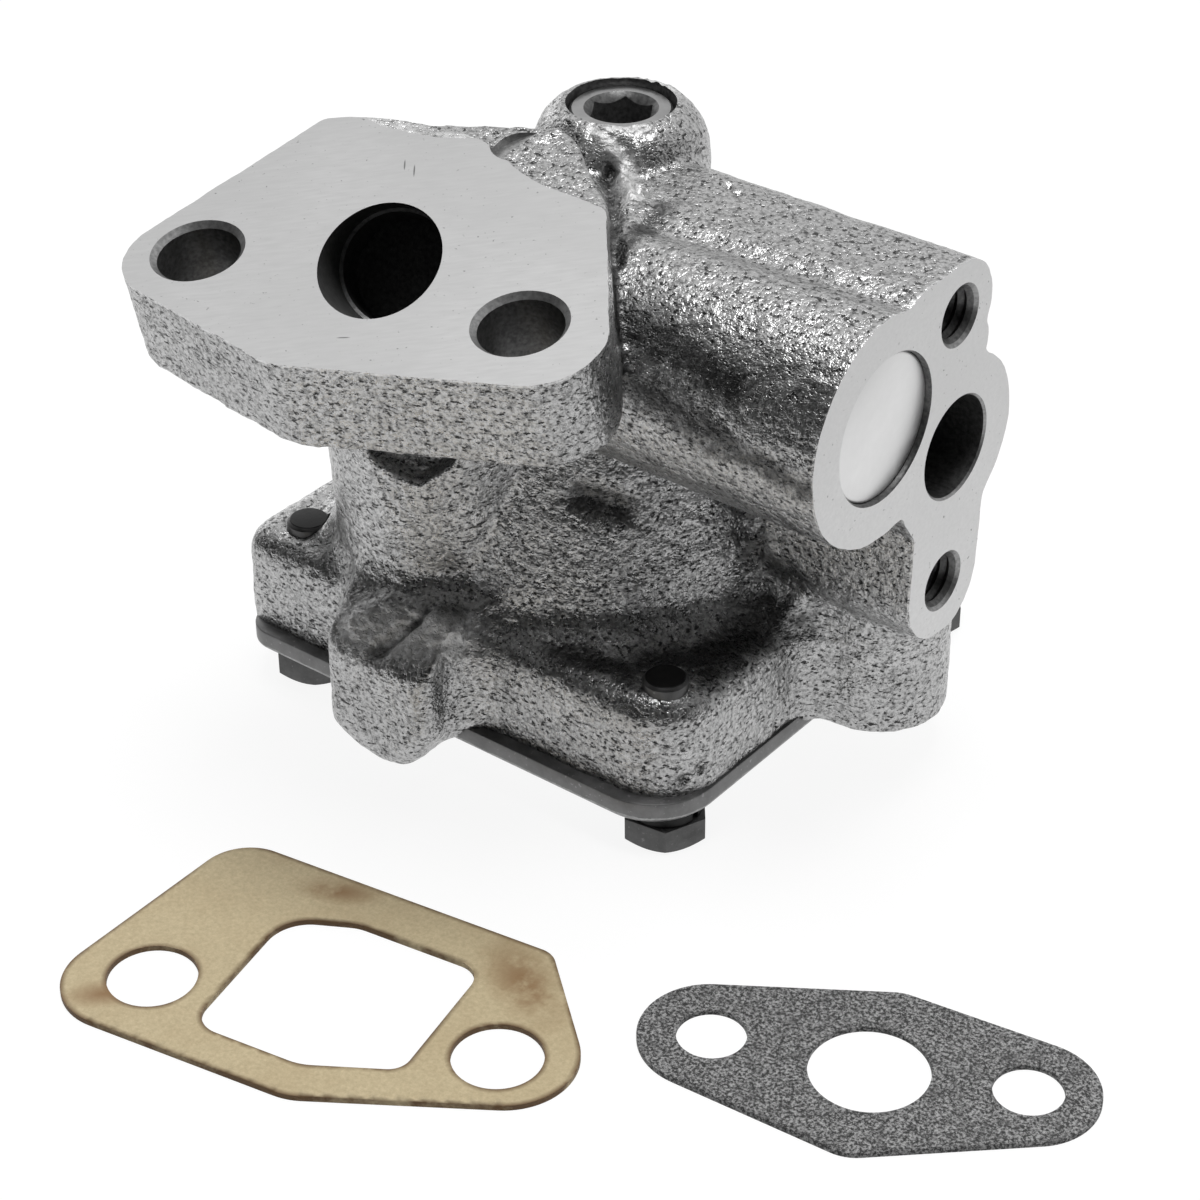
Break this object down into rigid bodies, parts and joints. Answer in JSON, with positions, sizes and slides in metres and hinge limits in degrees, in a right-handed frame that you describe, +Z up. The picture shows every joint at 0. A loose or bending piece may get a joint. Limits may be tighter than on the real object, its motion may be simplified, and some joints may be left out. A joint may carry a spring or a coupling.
{
  "type": "engine oil pump",
  "caption": "Flange-mounted gerotor oil pump with a tilted mounting flange, side inlet face, hexagon drive socket, relief valve and two loose gaskets.",
  "frame": {"origin": "on the drive shaft's axis, at the level of the surface that the pump stands on", "axes": "+Z up along the drive shaft, +X out of the inlet face"},
  "size_m": [0.1511, 0.15, 0.09],
  "materials": {
    "cast_iron": "as cast, with machined faces",
    "cover_steel": "dark rolled plate",
    "bolt_steel": "black oxide",
    "washer_steel": "black oxide",
    "shaft_steel": "ground",
    "sintered_steel": "sintered and ground",
    "bright_plate": "bright zinc",
    "spring_steel": "drawn wire",
    "tan_paper": "oiled gasket paper",
    "dark_fibre": "graphite-faced fibre"
  },
  "bodies": {
    "pump": {"cover_bolt_left_back": "bolt_steel", "cover_bolt_left_front": "bolt_steel", "cover_bolt_right_back": "bolt_steel", "cover_bolt_right_front": "bolt_steel", "cover_plate": "cover_steel", "lock_washer_left_back": "washer_steel", "lock_washer_left_front": "washer_steel", "lock_washer_right_back": "washer_steel", "lock_washer_right_front": "washer_steel", "mounting_gasket": "tan_paper", "pickup_gasket": "dark_fibre", "pump_body": "cast_iron", "relief_plug": "bright_plate", "relief_spring": "spring_steel"},
    "rotor_drive": {"drive_shaft": "shaft_steel", "inner_rotor": "sintered_steel", "rotor_pin": "shaft_steel"},
    "outer_rotor": {"outer_rotor": "sintered_steel"},
    "relief_valve": {"relief_plunger": "shaft_steel"}
  },
  "joints": [
    {"name": "drive_spin", "type": "hinge", "parent": "pump", "child": "rotor_drive", "pos_m": [0, 0, 0], "axis": [0, 0, 1], "continuous": true},
    {"name": "outer_rotor_spin", "type": "hinge", "parent": "pump", "child": "outer_rotor", "pos_m": [0, -0.0034, 0], "axis": [0, 0, 1], "continuous": true},
    {"name": "relief_slide", "type": "slide", "parent": "pump", "child": "relief_valve", "axis": [1, 0, 0], "range_m": [0, 0.008], "stiffness_N_per_m": 5000, "springref_m": -0.005, "deforming": ["relief_spring"]}
  ],
  "couplings": [
    {"joint": "outer_rotor_spin", "follows": "drive_spin", "ratio": 0.8}
  ]
}
